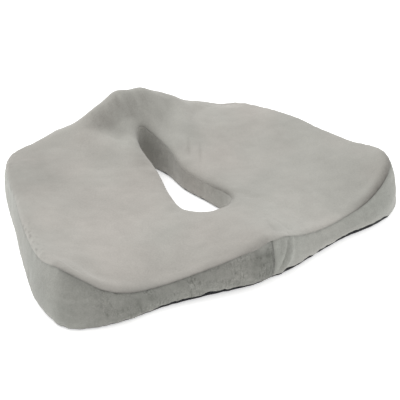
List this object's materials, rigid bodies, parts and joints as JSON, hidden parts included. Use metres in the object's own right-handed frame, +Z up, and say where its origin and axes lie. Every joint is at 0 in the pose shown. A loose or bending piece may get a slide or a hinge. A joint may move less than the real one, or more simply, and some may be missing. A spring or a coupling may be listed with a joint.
{
  "type": "seat cushion",
  "caption": "Contoured seat cushion with thigh grooves, a raised rear and an open relief slot, in a zipped plush cover with a grippy base.",
  "frame": {"origin": "centre of the footprint, on the surface the cushion lies on", "axes": "+X across the seat, to the right as seen from the front; +Y from the notched front edge to the raised rear; +Z up"},
  "size_m": [0.4508, 0.3567, 0.1017],
  "materials": {
    "plush_top": "short-pile plush, soft sheen",
    "plush_side": "short-pile plush, brushed",
    "grip_base": "woven, with small grip dots",
    "knit": "thin jersey knit",
    "foam": "open-cell foam",
    "zip_nylon": "matt nylon",
    "zip_tape": "woven tape",
    "zip_metal": "satin",
    "label_satin": "satin ribbon"
  },
  "bodies": {
    "cushion": {"foam_core": "foam", "foam_liner": "knit", "cover_top_panel": "plush_top", "cover_slot_sleeve": "plush_side", "cover_side_band_right": "plush_side", "cover_side_band_left": "plush_side", "cover_zip_panel_upper": "plush_side", "cover_zip_panel_lower": "plush_side", "cover_base_panel": "grip_base", "zip_tape_upper": "zip_tape", "zip_tape_lower": "zip_tape", "zip_coil_upper": "zip_nylon", "zip_coil_lower": "zip_nylon", "zip_top_stop_upper": "zip_metal", "zip_top_stop_lower": "zip_metal", "zip_bottom_stop": "zip_metal", "care_label": "label_satin"},
    "slider": {"zip_slider": "zip_metal"},
    "pull_tab": {"zip_pull_tab": "zip_metal"}
  },
  "joints": [
    {"name": "zip_slide", "type": "slide", "parent": "cushion", "child": "slider", "axis": [-1, 0, 0], "range_m": [0, 0.207]},
    {"name": "pull_tab_hinge", "type": "hinge", "parent": "slider", "child": "pull_tab", "pos_m": [0.1039, 0.1759, 0.02], "axis": [0, 0, -1], "range_deg": [0, 150]}
  ]
}
